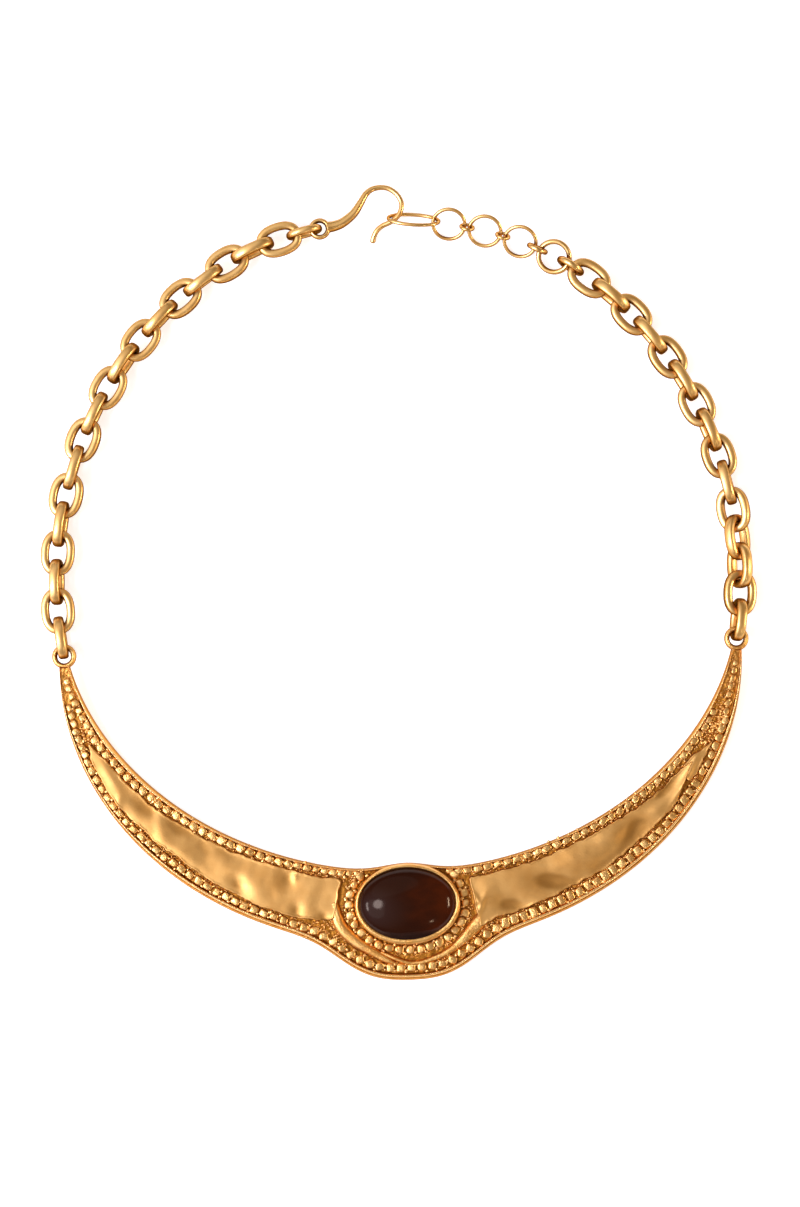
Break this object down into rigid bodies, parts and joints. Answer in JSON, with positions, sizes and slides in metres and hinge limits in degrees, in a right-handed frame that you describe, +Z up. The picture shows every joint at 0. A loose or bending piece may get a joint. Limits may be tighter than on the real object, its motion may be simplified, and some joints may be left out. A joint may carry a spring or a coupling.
{
  "type": "choker necklace",
  "caption": "Choker necklace: a cast crescent plate with granulated channels and an oval cabochon stone, oval link chains, a plain hook and a ring extender.",
  "frame": {"origin": "middle of the footprint, on the table", "axes": "+Z up, out of the worn face; +Y from the front plate towards the hook at the back of the neck; +X towards the extender's side"},
  "size_m": [0.1286, 0.1434, 0.0068],
  "materials": {
    "satin_gold": "satin gold plate, darker in the hollows",
    "bright_gold": "bright gold plate",
    "brown_stone": "polished dark red-brown stone"
  },
  "bodies": {
    "root": {"crescent_plate": "satin_gold", "cabochon_stone": "brown_stone", "left_link_01": "satin_gold", "left_link_02": "satin_gold", "left_link_03": "satin_gold", "left_link_04": "satin_gold", "left_link_05": "satin_gold", "left_link_06": "satin_gold", "left_link_07": "satin_gold", "left_link_08": "satin_gold", "left_link_09": "satin_gold", "left_link_10": "satin_gold", "left_link_11": "satin_gold", "left_link_12": "satin_gold", "left_link_13": "satin_gold", "left_link_14": "satin_gold", "left_link_15": "satin_gold", "left_link_16": "satin_gold", "left_link_17": "satin_gold", "left_link_18": "satin_gold", "hook_link": "satin_gold", "right_link_01": "satin_gold", "right_link_02": "satin_gold", "right_link_03": "satin_gold", "right_link_04": "satin_gold", "right_link_05": "satin_gold", "right_link_06": "satin_gold", "right_link_07": "satin_gold", "right_link_08": "satin_gold", "right_link_09": "satin_gold", "right_link_10": "satin_gold", "right_link_11": "satin_gold", "right_link_12": "satin_gold", "right_link_13": "satin_gold", "right_link_14": "satin_gold", "right_link_15": "satin_gold", "chain_end_jump_ring": "bright_gold", "extender_ring_4": "bright_gold", "extender_jump_ring_3": "bright_gold", "extender_ring_3": "bright_gold", "extender_jump_ring_2": "bright_gold", "extender_ring_2": "bright_gold", "extender_jump_ring_1": "bright_gold", "extender_ring_1": "bright_gold", "end_ring": "bright_gold", "hook": "bright_gold"}
  },
  "joints": []
}
